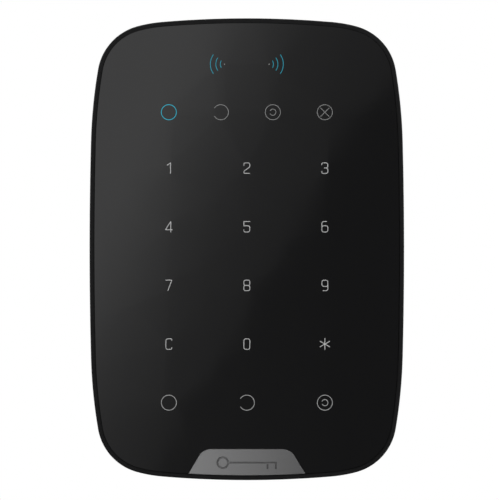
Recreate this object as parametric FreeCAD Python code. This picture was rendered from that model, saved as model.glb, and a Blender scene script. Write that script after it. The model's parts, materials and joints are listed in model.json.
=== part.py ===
"""Wall keypad with a contactless card reader, as separate bench pieces.

The reader hangs upright on a wall. +X is to the right seen from the room, +Z is up and +Y points
into the wall. The origin is on the wall plane, behind the middle of the front panel.
Every height off the wall is called a depth: a depth of d is the plane y = -d.
"""
import FreeCAD, Part
import math
import os
from FreeCAD import Vector

os.makedirs("parts", exist_ok=True)

# ---- driving dimensions, millimetres and degrees ----

# Body outline, one quadrant from the top centre to the widest point: (radius, turn).
OUTLINE_ARCS = [(360.0, 4.85), (50.0, 10.3), (19.4, 65.2), (182.0, 8.2), (1520.0, 1.45)]

FRONT_DEPTH = 20.0          # crown of the front panel
RIM_CROWN = 19.65           # the rim follows the panel's crown, this much out at the middle
PANEL_BACK = 18.15          # flat back of the panel
SHELF = (16.8, 18.0)        # ledge of the front housing that carries the panel
WAIST_DEPTH = 15.5          # the sides are widest from here to the rim
PARTING_DEPTH = 9.0         # line between front and rear housing
PARTING_GAP = 0.2
SKIRT_DEPTH = 0.4           # back edge of the rear housing's skirt
BACK_WALL = (2.2, 3.6)      # rear housing's back wall
PLATE_THICKNESS = 2.0

PARTING_INSET = 0.7         # how far the sides have drawn in at the parting line
SKIRT_INSET = 2.6           # and at the wall
RIM_INSET = 1.65            # inner edge of the rim
PANEL_INSET = 1.8           # edge of the panel
CAVITY_INSET = 3.2          # inner face of the side walls
RECESS_INSET = 4.1          # pocket in the back for the mounting plate
PLATE_INSET = 5.0
WINDOW_INSET = 9.0          # opening inside the ledge
RIM_ROUND = 0.5

CROWN_RADIUS_X = 2200.0     # the panel is crowned both ways
CROWN_RADIUS_Z = 4800.0

SLIDE_TRAVEL = 6.0          # the reader lifts this far to come off its hooks
TAMPER_SLOPE = 0.15         # tamper ramp: rise over run along Z

SCREW_SPACING = (56.0, 120.0)
SCREW_CENTRE_Z = 2.0
SCREW_HOLE_R = 2.1
SCREW_HEAD_R = 3.7
SINK_DEPTH = 1.0            # countersink, measured from the plate's front

HOOK_X = 40.0
HOOK_TOPS = (45.0, -45.0)
HOOK_WIDTH = 8.0
HOOK_STEM = 3.0
HOOK_LIP = 4.5
HOOK_LIP_THICKNESS = 1.4
HOOK_LEAD = 0.5             # chamfer that leads the lip into its window
HOOK_PLAY = 0.5             # sideways, in the rear housing's windows
HOOK_REST = 0.1             # between a hook and the top of its window
HOOK_GRIP_PLAY = 0.25       # between the lip and the back wall
STOP_PLAY = 0.3             # left below the hooks when the reader is fully lifted

BREAKAWAY_Z = 24.0          # piece of the plate that stays on the wall if the reader is torn off
BREAKAWAY_R = 13.0
BREAKAWAY_SLOT = 1.0
BREAKAWAY_BRIDGE = 16.0     # angle left between two slots
TAMPER_SCREW_Z = 17.0
TAMPER_Z = 25.0             # axis of the tamper plunger
RAMP_WIDTH = 4.4
RAMP_TOP = 4.4              # depth of the ramp face under the plunger
RAMP_SPAN = (23.0, 34.0)
RAMP_PLAY = 0.4

SIDE_POCKET_X = (18.0, 45.0)
SIDE_POCKET_LOWS = (-36.0, -15.0, 6.0)
SIDE_POCKET_HEIGHT = 18.0
MIDDLE_POCKET_HALF = 15.0
MIDDLE_POCKET_LOWS = (-62.0, -45.0, -28.0)
MIDDLE_POCKET_HEIGHT = 14.0
POCKET_CORNER = 2.0
POCKET_DEPTH = 0.7

LOCK_TAB = (-71.9, -69.7)   # tab that the lock screw draws against
LOCK_TAB_HALF = 4.0
LOCK_TAB_DEPTH = (0.8, 7.6)
LOCK_AXIS_DEPTH = 4.9
LOCK_THREAD_R = 1.55
LOCK_BOSS = (-80.4, -78.4)
LOCK_BOSS_HALF = 4.0
LOCK_BOSS_DEPTH = 7.5
LOCK_BORE_R = 1.35
LOCK_SINK_R = 2.4
LOCK_HEAD = (-80.9, -79.6)
LOCK_HEAD_R = 2.2
LOCK_SHANK_R = 1.2
LOCK_TIP_Z = -72.2          # backed out of the tab, so that the reader can slide
LOCK_SLOT = 0.6
LOCK_SLOT_REACH = 1.6
LOCK_SLOT_DEEP = 0.7

TONGUE_WIDTH = 1.0          # lip of the front housing that sits inside the rear one
TONGUE_HEIGHT = 1.2
TONGUE_PLAY = 0.1

HOUSING_SCREWS = [(42.8, 69.9), (49.3, 0.0), (42.8, -69.9)]
BOSS_R = 3.4
BOSS_PILOT_R = 1.2
BOSS_PILOT_END = 15.6
HOUSING_CLEARANCE_R = 1.3
COUNTERBORE_R = 2.5
HOUSING_HEAD = (3.0, 4.4)
HOUSING_HEAD_R = 2.2
HOUSING_SHANK_R = 1.15
HOUSING_SHANK_END = 15.0
HOUSING_CROSS = 1.3         # reach and depth of the cross recess
HOUSING_RECESS = 0.9
HEAD_BEVEL = 0.3
CROSS_SLOT = 0.5

BOARD_POSTS = [(49.2, 44.0), (49.2, 12.0)]
POST_R = 2.4
POST_PILOT_R = 0.85
POST_PILOT_END = 17.2
BOARD_HOLE_R = 1.1
BOARD_HEAD_R = 1.8
BOARD_HEAD_HEIGHT = 1.1
BOARD_SHANK_R = 0.8
BOARD_SHANK_END = 16.8
BOARD_CROSS = 1.0
BOARD_RECESS = 0.6

BOARD = (13.8, 14.8)        # main board, back and front depth
BOARD_BOTTOM = -6.0
BOARD_PLAY = 0.4
GUIDE = (17.45, 17.85)      # light guide sheet
FILM = (17.85, 18.15)       # touch sensor film
LAYER_PLAY = 0.3
TAPE_MARGIN = 0.3
TAPE_OVERHANG = 1.0
BAFFLE_PLAY = 0.15
BAFFLE_INSET = 2.5
WELL_R = 3.5                # light well over each LED
LED_SIDE = 1.6
LED_HEIGHT = 0.7

# Electronics on the back of the board: x, z, width, height, thickness.
CONTROLLER = (-6.0, 4.0, 10.0, 10.0, 1.0)
READER_CHIP = (2.0, 62.0, 6.0, 6.0, 0.9)
RADIO_BOARD = (-16.0, 62.0, 18.0, 14.0, 0.8)
DIMPLE_R = 0.45
DIMPLE_INSET = 1.2
DIMPLE_DEPTH = 0.15
SHIELD_MARGIN = 1.0
SHIELD_HEIGHT = 1.8
SHIELD_WALL = 0.2
CRYSTAL = (3.2, 2.5, 0.8)   # width, height, thickness
CRYSTAL_PLACES = [(4.0, 4.0), (10.0, 62.0)]
CAPACITOR = (1.6, 0.8, 0.6)
CAPACITOR_LEFT = -14.0
CAPACITOR_STEP = 4.0
CAPACITOR_ROWS = [(-3.0, range(8)), (12.0, (0, 1, 2, 5, 6, 7))]
TUNING_CAPACITOR = (1.2, 2.0, 0.8)
TUNING_X = 16.0
TUNING_LOW = 56.0
TUNING_STEP = 3.0
TUNING_COUNT = 4

COIL_Z = (53.5, 74.5)
COIL_HALF_X = 35.0
COIL_PITCH = 0.9
COIL_TRACK = 0.45
COIL_TURNS = 5
COIL_CORNER = 0.4
COIL_THICKNESS = 0.1

ANTENNA_X = 47.0
ANTENNA_SHEET = 0.4
ANTENNA_FOOT = 3.0
ANTENNA_LEG_Z = (22.0, 25.0)
ANTENNA_TOP_Z = 38.0
ANTENNA_BLADE = (8.0, 10.5)

CELL_R = 7.1
CELL_CAN = 49.2
CELL_NUB = 1.0
CELL_NUB_R = 2.6
CELL_EDGE = 0.6
CELL_PITCH = 14.6
CELL_DEPTH = 10.15
BAY = (-66.8, -12.2)        # battery bay between its end walls
BAY_RIB = 1.2
BAY_RIB_DEPTH = 12.5
BAY_END_DEPTH = 13.4
TROUGH_SINK = 0.6           # the back wall is thinned under the cells
CONTACT_THICKNESS = 0.3
CONTACT_HALF = 5.0
CONTACT_REACH = (5.5, 13.2)
CONTACT_SPRING = 3.8        # room for a contact spring
CONTACT_SPRING_R = 3.2
CONTACT_WIRE_R = 0.35
CONTACT_SPRING_TURNS = 2.5
SPRING_PLAY = 0.05

PLUNGER_R = 1.2
PLUNGER_PLAY = 0.25
PLUNGER_TIP = 4.6
PLUNGER_END = 12.8
COLLAR = (6.5, 7.1)
COLLAR_R = 2.2
TAMPER_SWITCH_SIDE = 7.0
TAMPER_SWITCH_BACK = 8.8
TAMPER_SPRING_R = 1.75
TAMPER_WIRE_R = 0.16
TAMPER_SPRING_HEIGHT = 1.2
TAMPER_SPRING_TURNS = 2.0
TAMPER_SPRING_PLAY = 0.04
SWITCH_FLOOR = 0.4          # left between a switch's bore and the board

BUTTON_AT = (-26.0, 44.0)
BUTTON_R = 3.2
BUTTON_CAP = (2.6, 5.6)
BUTTON_ROUND = 0.4
BUTTON_FLANGE = (3.9, 4.7)
BUTTON_FLANGE_R = 4.2
BUTTON_STEM_R = 1.4
BUTTON_HOLE_R = 3.4
POWER_SWITCH_SIDE = 6.0
POWER_SWITCH_BACK = 11.2
ACTUATOR = (10.5, 12.7)
ACTUATOR_R = 1.6
ACTUATOR_PLAY = 0.2

BUZZER_AT = (22.0, 34.0)
BUZZER_R = 7.0
BUZZER_WALL = 0.6
BUZZER_BACK = 9.8
BUZZER_DISC = (12.2, 12.5)
SOUND_HOLE_R = 1.2
DISC_PLAY = 0.1

LABEL_X = (-2.2, 17.4)
LABEL_Z = (49.2, 68.8)
LABEL_CORNER = 1.5
LABEL_THICKNESS = 0.15
LABEL_SINK = 0.25
LABEL_PLAY = 0.4

KEY_COLUMNS = (-27.9, 0.0, 27.9)
KEY_TOP_ROW = 29.0
KEY_PITCH_Z = 20.97
STATUS_Z = 49.0
STATUS_COLUMNS = (-27.9, -9.3, 9.3, 27.9)
READER_Z = 66.2
READER_X = 8.0
WAVES = [(2.4, 32.0), (4.0, 35.0), (5.95, 35.0)]    # radius, half spread
WAVE_SHIFT = 0.9            # the waves' centre, inwards from the dot
WAVE_MIDDLE = 2.6
DOT_R = 0.22
INLAY = 0.3                 # thickness of the translucent legends
DIGIT_STROKE = 0.24
ICON_STROKE = 0.22
ICON_R = 2.7
SMALL_ICON_R = 1.1
DIGIT_W = 1.06              # half width and half height of a digit's centre line
DIGIT_H = 1.88

BADGE_TOP = -71.52
BADGE_HALF_TOP = 15.6       # where the slanted side would meet the top edge
BADGE_SLANT = 31.0          # slant of its sides from the vertical
BADGE_CORNER = 5.2
BADGE_GAP = 0.12
BADGE_PROUD = 0.15
BADGE_BEVEL = 0.12
KEY_Z = -76.35              # sunk outline of a key on the badge
KEY_LINE = 0.7
KEY_BOW_X = -8.6
KEY_BOW_R = 1.9
KEY_TIP_X = 10.4
KEY_TOOTH = 1.9
KEY_TOOTH_GAP = 3.0

PAST = 1.0                  # cutting solids run this far past the faces they cut
BODY_REACH = 90.0           # further than any edge of the body
THROUGH_BACK = (BACK_WALL[0] - PAST, BACK_WALL[1] + PAST)


# ---- small helpers ----

def at_depth(depth):
    return Vector(0, -depth, 0)


def slab(flat, near, far):
    """Extrude a flat face or wire drawn in the wall plane, between two depths."""
    face = Part.Face(flat) if isinstance(flat, Part.Wire) else flat.copy()
    face.translate(at_depth(near))
    return face.extrude(at_depth(far - near))


def box(x, z, depth):
    return Part.makeBox(x[1] - x[0], depth[1] - depth[0], z[1] - z[0],
                        Vector(x[0], -depth[1], z[0]))


def rod(x, z, radius, near, far):
    return Part.makeCylinder(radius, far - near, Vector(x, -near, z), Vector(0, -1, 0))


def upright(x, depth, radius, low, high):
    return Part.makeCylinder(radius, high - low, Vector(x, -depth, low), Vector(0, 0, 1))


def fused(shapes):
    joined = shapes[0].fuse(shapes[1:]) if len(shapes) > 1 else shapes[0]
    return joined.removeSplitter()


def edges_beyond(shape, depth):
    """Edges whose ends all stand further out from the wall than depth."""
    return [edge for edge in shape.Edges if all(end.Y < -depth for end in edge.Vertexes)]


def mirrored(places):
    """The same places on both sides of the middle."""
    return [(side * x, z) for x, z in places for side in (-1, 1)]


def rounded_rectangle(x, z, radius):
    corners = [(x[0], z[0]), (x[1], z[0]), (x[1], z[1]), (x[0], z[1])]
    return Part.Face(path(corners, radius, closed=True))


def helix_spring(radius, wire_radius, height, turns, place, direction):
    """Round-wire coil spring standing on place and rising along direction."""
    coil = Part.Wire(Part.makeLongHelix(height / turns, height, radius).Edges)
    section = Part.Wire([Part.makeCircle(wire_radius, Vector(radius, 0, 0), Vector(0, 1, 0))])
    spring = coil.makePipeShell([section], True, True)
    spring.Placement = FreeCAD.Placement(place, FreeCAD.Rotation(Vector(0, 0, 1), direction))
    return spring


def save(name, shape):
    if not shape.isValid():
        print("invalid shape:", name)
    shape.exportStep("parts/" + name + ".step")


# ---- outlines ----

def quadrant_arcs():
    """Centre, radius, start and end angle of each arc of the top right quadrant."""
    arcs = []
    x, z, angle = 0.0, 0.0, 90.0
    for radius, turn in OUTLINE_ARCS:
        centre_x = x - radius * math.cos(math.radians(angle))
        centre_z = z - radius * math.sin(math.radians(angle))
        arcs.append((centre_x, centre_z, radius, angle, angle - turn))
        angle -= turn
        x = centre_x + radius * math.cos(math.radians(angle))
        z = centre_z + radius * math.sin(math.radians(angle))
    return [(cx, cz - z, radius, start, end) for cx, cz, radius, start, end in arcs]


def outline(inset, lift=0.0):
    """The body's outline drawn in by inset and lifted along Z, as a closed wire."""
    edges = []
    for sign_x, sign_z in ((1, 1), (1, -1), (-1, -1), (-1, 1)):
        quadrant = []
        for cx, cz, radius, start, end in quadrant_arcs():
            points = []
            for angle in (start, (start + end) / 2, end):
                px = cx + (radius - inset) * math.cos(math.radians(angle))
                pz = cz + (radius - inset) * math.sin(math.radians(angle))
                points.append(Vector(sign_x * px, 0, sign_z * pz + lift))
            if sign_x != sign_z:
                points.reverse()
            quadrant.append(Part.Arc(*points).toShape())
        if sign_x != sign_z:
            quadrant.reverse()
        edges += quadrant
    return Part.Wire(edges)


def tapered(inset_near, near, inset_far, far):
    near_wire = outline(inset_near)
    far_wire = outline(inset_far)
    near_wire.translate(at_depth(near))
    far_wire.translate(at_depth(far))
    return Part.makeLoft([near_wire, far_wire], True, True)


def crown(height):
    """Solid behind the crowned front surface, whose highest point is at height."""
    half_x, half_z, thickness = 60.0, 90.0, 10.0
    fall_x = half_x ** 2 / (2 * CROWN_RADIUS_X)
    fall_z = half_z ** 2 / (2 * CROWN_RADIUS_Z)
    surface = Part.BezierSurface()
    surface.increase(2, 2)
    for i, bend_x in enumerate((1, -1, 1)):
        for j, bend_z in enumerate((1, -1, 1)):
            depth = height - bend_x * fall_x - bend_z * fall_z
            surface.setPole(i + 1, j + 1, Vector((i - 1) * half_x, -depth, (j - 1) * half_z))
    return surface.toShape().extrude(Vector(0, thickness, 0))


# ---- drawn lines: a path with rounded corners, and a stroke of even width along it ----

def path(points, radius, closed=False):
    """Wire through points in the wall plane, its corners rounded by tangent arcs."""
    corners = [Vector(x, 0, z) for x, z in points]
    count = len(corners)
    edges, runs = [], []
    for i, corner in enumerate(corners):
        if not closed and i in (0, count - 1):
            runs.append((corner, corner))
            continue
        before = corners[i - 1] - corner
        after = corners[(i + 1) % count] - corner
        half_turn = (math.pi - before.getAngle(after)) / 2
        room = 0.48 * min(before.Length, after.Length)
        reach = min(radius * math.tan(half_turn), room)
        bend = reach / math.tan(half_turn)
        start = corner + before.normalize() * reach
        end = corner + after.normalize() * reach
        inward = (start + end - corner * 2).normalize()
        middle = corner + inward * (bend / math.cos(half_turn) - bend)
        edges.append(Part.Arc(start, middle, end).toShape())
        runs.append((start, end))
    for i in range(count if closed else count - 1):
        edges.append(Part.makeLine(runs[i][1], runs[(i + 1) % count][0]))
    return Part.Wire(Part.__sortEdges__(edges))


def stroke(points, width, radius=0.7, closed=False):
    """Face of even width along a path with flat ends."""
    bands = [band(edge, width) for edge in path(points, radius, closed).Edges]
    return bands[0].fuse(bands[1:]).removeSplitter()


def band(edge, width):
    """Face of even width along one straight or round edge."""
    span = edge.LastParameter - edge.FirstParameter
    start, middle, end = [edge.valueAt(edge.FirstParameter + span * part) for part in (0, 0.5, 1)]
    if isinstance(edge.Curve, Part.Circle):
        centre = edge.Curve.Center
        outer = [centre + (p - centre) * (1 + width / 2 / edge.Curve.Radius)
                 for p in (start, middle, end)]
        inner = [centre + (p - centre) * (1 - width / 2 / edge.Curve.Radius)
                 for p in (end, middle, start)]
        return Part.Face(Part.Wire([
            Part.Arc(*outer).toShape(), Part.makeLine(outer[2], inner[0]),
            Part.Arc(*inner).toShape(), Part.makeLine(inner[2], outer[0])]))
    side = (end - start).cross(Vector(0, 1, 0)).normalize() * (width / 2)
    corners = [start + side, end + side, end - side, start - side, start + side]
    return Part.Face(Part.makePolygon(corners))


def bar(start, end, width):
    run = Vector(end[0] - start[0], 0, end[1] - start[1])
    along = run.normalize() * (width / 2)
    side = Vector(-along.z, 0, along.x)
    a, b = Vector(start[0], 0, start[1]), Vector(end[0], 0, end[1])
    return Part.Face(Part.Wire([
        Part.makeLine(a + side, b + side), Part.Arc(b + side, b + along, b - side).toShape(),
        Part.makeLine(b - side, a - side), Part.Arc(a - side, a - along, a + side).toShape()]))


def bars(points, width):
    """Round-ended bars that join at sharp corners."""
    return [bar(start, end, width) for start, end in zip(points, points[1:])]


def arc_stroke(radius, start, end, width):
    """Face of even width along an arc about the origin, angles from +X towards +Z."""
    points = []
    for angle in (start, (start + end) / 2, end):
        points.append(Vector(radius * math.cos(math.radians(angle)), 0,
                             radius * math.sin(math.radians(angle))))
    return band(Part.Arc(*points).toShape(), width)


def ring(radius, width):
    outer = Part.Wire([Part.makeCircle(radius + width / 2, Vector(), Vector(0, -1, 0))])
    inner = Part.Wire([Part.makeCircle(radius - width / 2, Vector(), Vector(0, -1, 0))])
    return Part.Face(outer).cut(Part.Face(inner))


def disc(radius):
    return Part.Face(Part.Wire([Part.makeCircle(radius, Vector(), Vector(0, -1, 0))]))


# ---- legends ----

def digit_faces(symbol):
    """Strokes of one plain keypad character, centred on the origin."""
    w, h, s = DIGIT_W, DIGIT_H, DIGIT_STROKE
    waist = 0.36
    arms = [math.radians(angle) for angle in (30, 90, 150)]
    strokes = {
        "0": [stroke([(-w, -h), (w, -h), (w, h), (-w, h)], s, closed=True)],
        "1": bars([(-0.58, 1.1), (0.6, h), (0.6, -h)], s),
        "2": [stroke([(-w, 0.85), (-w, h), (w, h), (w, 0.4), (-w, -1.1), (-w, -h), (w, -h)], s)],
        "3": [stroke([(-w, 1.1), (-w, h), (w, h), (w, 0.05), (-0.3, 0.05)], s),
              stroke([(-0.3, 0.05), (w, 0.05), (w, -h), (-w, -h), (-w, -1.1)], s)],
        "4": bars([(0.7, -h), (0.7, h), (-1.2, -1.05), (1.25, -1.05)], s),
        "5": bars([(w, h), (-w, h), (-w, waist)], s)
        + [stroke([(-w, waist), (w, waist), (w, -h), (-w, -h), (-w, -1.0)], s)],
        "7": bars([(-w, h), (w, h), (-0.35, -h)], s),
        "8": [stroke([(-w, 0), (w, 0), (w, h), (-w, h)], s, 0.6, closed=True),
              stroke([(-w, -h), (w, -h), (w, 0), (-w, 0)], s, 0.6, closed=True)],
        "9": [stroke([(-w, -waist), (w, -waist), (w, h), (-w, h)], s, closed=True),
              stroke([(w, 0.8), (w, -h), (-0.75, -h)], s)],
        "C": [stroke([(w, 1.15), (w, h), (-w, h), (-w, -h), (w, -h), (w, -1.15)], s)],
        "*": [bar((-2 * math.cos(a), -2 * math.sin(a)), (2 * math.cos(a), 2 * math.sin(a)), s)
              for a in arms],
    }
    if symbol == "6":
        faces = [face.copy() for face in strokes["9"]]
        for face in faces:
            face.rotate(Vector(), Vector(0, 1, 0), 180)
        return faces
    return strokes[symbol]


def icon_faces(kind):
    """Status and arming icons: closed ring, open ring, ring in ring, crossed ring."""
    gap, small_gap, cross = 32, 25, 1.5
    if kind == "open":
        return [arc_stroke(ICON_R, -180 + gap, 180 - gap, ICON_STROKE)]
    faces = [ring(ICON_R, ICON_STROKE)]
    if kind == "night":
        faces.append(arc_stroke(SMALL_ICON_R, -180 + small_gap, 180 - small_gap, ICON_STROKE))
    if kind == "cross":
        faces.append(bar((-cross, -cross), (cross, cross), ICON_STROKE))
        faces.append(bar((-cross, cross), (cross, -cross), ICON_STROKE))
    return faces


def inlay(faces, x, z, skin):
    """Flush inlay: the strokes, moved to their place, cut out of the panel's front skin."""
    solids = []
    for flat in [flat for face in faces for flat in face.Faces]:
        placed = flat.copy()
        placed.translate(Vector(x, 0, z))
        solids.append(slab(placed, PANEL_BACK, FRONT_DEPTH + PAST))
    return skin.common(fused(solids))


def make_legends(skin):
    digits, arming, status = [], [], []
    for index, symbol in enumerate("123456789C0*"):
        row, column = divmod(index, 3)
        place = (KEY_COLUMNS[column], KEY_TOP_ROW - row * KEY_PITCH_Z)
        digits.append(inlay(digit_faces(symbol), *place, skin))
    arming_z = KEY_TOP_ROW - 4 * KEY_PITCH_Z
    for x, kind in zip(KEY_COLUMNS, ("ring", "open", "night")):
        arming.append(inlay(icon_faces(kind), x, arming_z, skin))
    for x, kind in zip(STATUS_COLUMNS, ("ring", "open", "night", "cross")):
        status.append(inlay(icon_faces(kind), x, STATUS_Z, skin))
    waves, dots = [], []
    for side in (-1, 1):
        dots.append(inlay([disc(DOT_R)], side * READER_X, READER_Z, skin))
        for radius, spread in WAVES:
            middle = 0 if side > 0 else 180
            wave = arc_stroke(radius, middle - spread, middle + spread, ICON_STROKE)
            waves.append(inlay([wave], side * (READER_X - WAVE_SHIFT), READER_Z, skin))
    return {"digit_legends": digits, "arming_legends": arming, "status_legends": status[1:],
            "armed_light": status[:1], "reader_waves": waves, "reader_dots": dots}


# ---- panel, badge and rim ----

def badge_face(grow):
    """Trapezoid with two large rounded corners, open-ended below the panel edge."""
    slant = math.radians(BADGE_SLANT)
    low = -BODY_REACH
    top = BADGE_TOP + grow
    half_top = BADGE_HALF_TOP + grow * (1 / math.cos(slant) - math.tan(slant))
    half_low = half_top + (top - low) * math.tan(slant)
    corners = [(-half_low, low), (half_low, low), (half_top, top), (-half_top, top)]
    wire = path(corners, BADGE_CORNER + grow, closed=True)
    return Part.Face(wire)


def make_panel_parts():
    every_side = slab(outline(PANEL_INSET), PANEL_BACK, FRONT_DEPTH + PAST)
    panel = every_side.common(crown(FRONT_DEPTH))
    panel = panel.cut(slab(badge_face(BADGE_GAP), PANEL_BACK - PAST, FRONT_DEPTH + PAST))
    skin = panel.cut(crown(FRONT_DEPTH - INLAY))
    legends = make_legends(skin)
    every_inlay = [piece for group in legends.values() for piece in group]
    save("touch_panel", panel.cut(every_inlay))
    for name, group in legends.items():
        save(name, Part.makeCompound(group))
    save("badge_insert", make_badge(every_side))


def make_badge(every_side):
    """Grey insert, slightly proud of the panel, with a sunk key outline."""
    front = FRONT_DEPTH + BADGE_PROUD
    body = slab(badge_face(0), PANEL_BACK, FRONT_DEPTH + PAST).common(every_side)
    badge = body.common(crown(front))
    badge = badge.makeChamfer(BADGE_BEVEL, edges_beyond(badge, PANEL_BACK + BADGE_BEVEL))
    bow = ring(KEY_BOW_R, KEY_LINE)
    bow.translate(Vector(KEY_BOW_X, 0, 0))
    shaft = bar((KEY_BOW_X + KEY_BOW_R, 0), (KEY_TIP_X, 0), KEY_LINE)
    teeth = [bar((x, 0), (x, -KEY_TOOTH), KEY_LINE) for x in (KEY_TIP_X - KEY_TOOTH_GAP, KEY_TIP_X)]
    strokes = [bow, shaft] + teeth
    key = fused([slab(face, PANEL_BACK, FRONT_DEPTH + PAST) for face in strokes])
    key.translate(Vector(0, 0, KEY_Z))
    return badge.cut(key.cut(crown(front - INLAY)))


# ---- housings ----

def housing_screw_places():
    return mirrored(HOUSING_SCREWS)


def make_front_housing():
    outer = slab(outline(0), WAIST_DEPTH, RIM_CROWN).common(crown(RIM_CROWN))
    outer = outer.makeFillet(RIM_ROUND, edges_beyond(outer, WAIST_DEPTH + PAST))
    outer = outer.fuse(tapered(PARTING_INSET, PARTING_DEPTH, 0, WAIST_DEPTH))
    outer = outer.cut(slab(outline(CAVITY_INSET), PARTING_DEPTH - PAST, SHELF[0]))
    outer = outer.cut(slab(outline(RIM_INSET), SHELF[1], FRONT_DEPTH))
    outer = outer.cut(slab(outline(WINDOW_INSET), SHELF[0] - PAST, SHELF[1] + PAST))
    tongue = slab(outline(CAVITY_INSET - TONGUE_WIDTH), PARTING_DEPTH - TONGUE_HEIGHT,
                  PARTING_DEPTH)
    tongue = tongue.cut(slab(outline(CAVITY_INSET), PARTING_DEPTH - 2 * PAST,
                             PARTING_DEPTH + PAST))
    bosses = [rod(x, z, BOSS_R, PARTING_DEPTH, SHELF[0]) for x, z in housing_screw_places()]
    posts = [rod(x, z, POST_R, BOARD[1], SHELF[0]) for x, z in mirrored(BOARD_POSTS)]
    housing = fused([outer, tongue] + bosses + posts)
    pilots = [rod(x, z, BOSS_PILOT_R, PARTING_DEPTH - PAST, BOSS_PILOT_END)
              for x, z in housing_screw_places()]
    pilots += [rod(x, z, POST_PILOT_R, BOARD[1] - PAST, POST_PILOT_END)
               for x, z in mirrored(BOARD_POSTS)]
    save("front_housing", housing.cut(pilots))


def hook_window(side, top):
    half = HOOK_WIDTH / 2 + HOOK_PLAY
    low = top - HOOK_STEM - SLIDE_TRAVEL - STOP_PLAY
    return box((side * HOOK_X - half, side * HOOK_X + half), (low, top + HOOK_REST),
               THROUGH_BACK)


def battery_bay_walls():
    """Two ribs beside the cells and two taller ones that hold their contacts."""
    half_bay = 2 * CELL_PITCH + BAY_RIB / 2
    low, high = BAY
    ribs = [box((side * half_bay - BAY_RIB / 2, side * half_bay + BAY_RIB / 2), BAY,
                (BACK_WALL[1], BAY_RIB_DEPTH)) for side in (-1, 1)]
    ends = [box((-half_bay - BAY_RIB / 2, half_bay + BAY_RIB / 2), span,
                (BACK_WALL[1], BAY_END_DEPTH))
            for span in ((low - BAY_RIB, low), (high, high + BAY_RIB))]
    return ribs + ends


def rear_openings():
    """Windows, holes and pockets through the rear housing's back wall."""
    cuts = [hook_window(side, top) for side in (-1, 1) for top in HOOK_TOPS]
    half_ramp = RAMP_WIDTH / 2 + RAMP_PLAY
    cuts.append(box((-half_ramp, half_ramp),
                    (RAMP_SPAN[0] - SLIDE_TRAVEL - RAMP_PLAY, RAMP_SPAN[1] + RAMP_PLAY),
                    THROUGH_BACK))
    half_tab = LOCK_TAB_HALF + HOOK_PLAY
    cuts.append(box((-half_tab, half_tab),
                    (LOCK_TAB[0] - SLIDE_TRAVEL - STOP_PLAY, LOCK_TAB[1] + STOP_PLAY),
                    THROUGH_BACK))
    cuts.append(rod(*BUTTON_AT, BUTTON_HOLE_R, *THROUGH_BACK))
    for x, z in housing_screw_places():
        cuts.append(rod(x, z, HOUSING_CLEARANCE_R, BACK_WALL[0] - PAST, PARTING_DEPTH + PAST))
        cuts.append(rod(x, z, COUNTERBORE_R, BACK_WALL[0] - PAST, HOUSING_HEAD[1]))
    cuts.append(upright(0, LOCK_AXIS_DEPTH, LOCK_BORE_R, -BODY_REACH, LOCK_BOSS[1] + PAST))
    cuts.append(upright(0, LOCK_AXIS_DEPTH, LOCK_SINK_R, -BODY_REACH, LOCK_HEAD[1]))
    pocket_x, pocket_z = [(low - LABEL_PLAY, high + LABEL_PLAY) for low, high in (LABEL_X, LABEL_Z)]
    cuts.append(box(pocket_x, pocket_z, (BACK_WALL[0] - PAST, BACK_WALL[0] + LABEL_SINK)))
    return cuts


def make_rear_housing():
    edge = PARTING_DEPTH - PARTING_GAP
    outer = tapered(SKIRT_INSET, SKIRT_DEPTH, PARTING_INSET, edge)
    outer = outer.cut(slab(outline(RECESS_INSET), SKIRT_DEPTH - PAST, BACK_WALL[0]))
    outer = outer.cut(slab(outline(CAVITY_INSET), BACK_WALL[1], edge + PAST))
    outer = outer.cut(slab(outline(CAVITY_INSET - TONGUE_WIDTH - TONGUE_PLAY),
                           PARTING_DEPTH - TONGUE_HEIGHT - TONGUE_PLAY, edge + PAST))
    bosses = [rod(x, z, BOSS_R, BACK_WALL[1], edge) for x, z in housing_screw_places()]
    lock_boss = box((-LOCK_BOSS_HALF, LOCK_BOSS_HALF), LOCK_BOSS, (BACK_WALL[0], LOCK_BOSS_DEPTH))
    housing = fused([outer] + bosses + battery_bay_walls() + [lock_boss])
    half_bay = 2 * CELL_PITCH
    cell_trough = box((-half_bay, half_bay), BAY, (BACK_WALL[1] - TROUGH_SINK, BACK_WALL[1] + PAST))
    save("rear_housing", housing.cut(rear_openings() + [cell_trough]))


def cross_recess(x, z, depth_from, depth_to, size):
    half = CROSS_SLOT / 2
    return fused([box((x - size, x + size), (z - half, z + half), (depth_from, depth_to)),
                  box((x - half, x + half), (z - size, z + size), (depth_from, depth_to))])


def make_housing_screws():
    screws = []
    back, front = HOUSING_HEAD
    for x, z in housing_screw_places():
        head = rod(x, z, HOUSING_HEAD_R, back, front)
        head = head.makeChamfer(HEAD_BEVEL, [e for e in head.Edges
                                             if e.BoundBox.YMin > -back - 0.01])
        screw = head.fuse(rod(x, z, HOUSING_SHANK_R, front, HOUSING_SHANK_END))
        screws.append(screw.cut(cross_recess(x, z, back - PAST, back + HOUSING_RECESS,
                                             HOUSING_CROSS)))
    save("housing_screws", Part.makeCompound(screws))


def make_lock_screw():
    low, high = LOCK_HEAD
    head = upright(0, LOCK_AXIS_DEPTH, LOCK_HEAD_R, low, high)
    shank = upright(0, LOCK_AXIS_DEPTH, LOCK_SHANK_R, high, LOCK_TIP_Z)
    half = LOCK_SLOT / 2
    slot = box((-LOCK_SLOT_REACH, LOCK_SLOT_REACH), (low - PAST, low + LOCK_SLOT_DEEP),
               (LOCK_AXIS_DEPTH - half, LOCK_AXIS_DEPTH + half))
    save("lock_screw", head.fuse(shank).cut(slot))


def make_label():
    face = rounded_rectangle(LABEL_X, LABEL_Z, LABEL_CORNER)
    bottom = BACK_WALL[0] + LABEL_SINK
    save("blank_label", slab(face, bottom - LABEL_THICKNESS, bottom))


# ---- mounting plate ----

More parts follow.
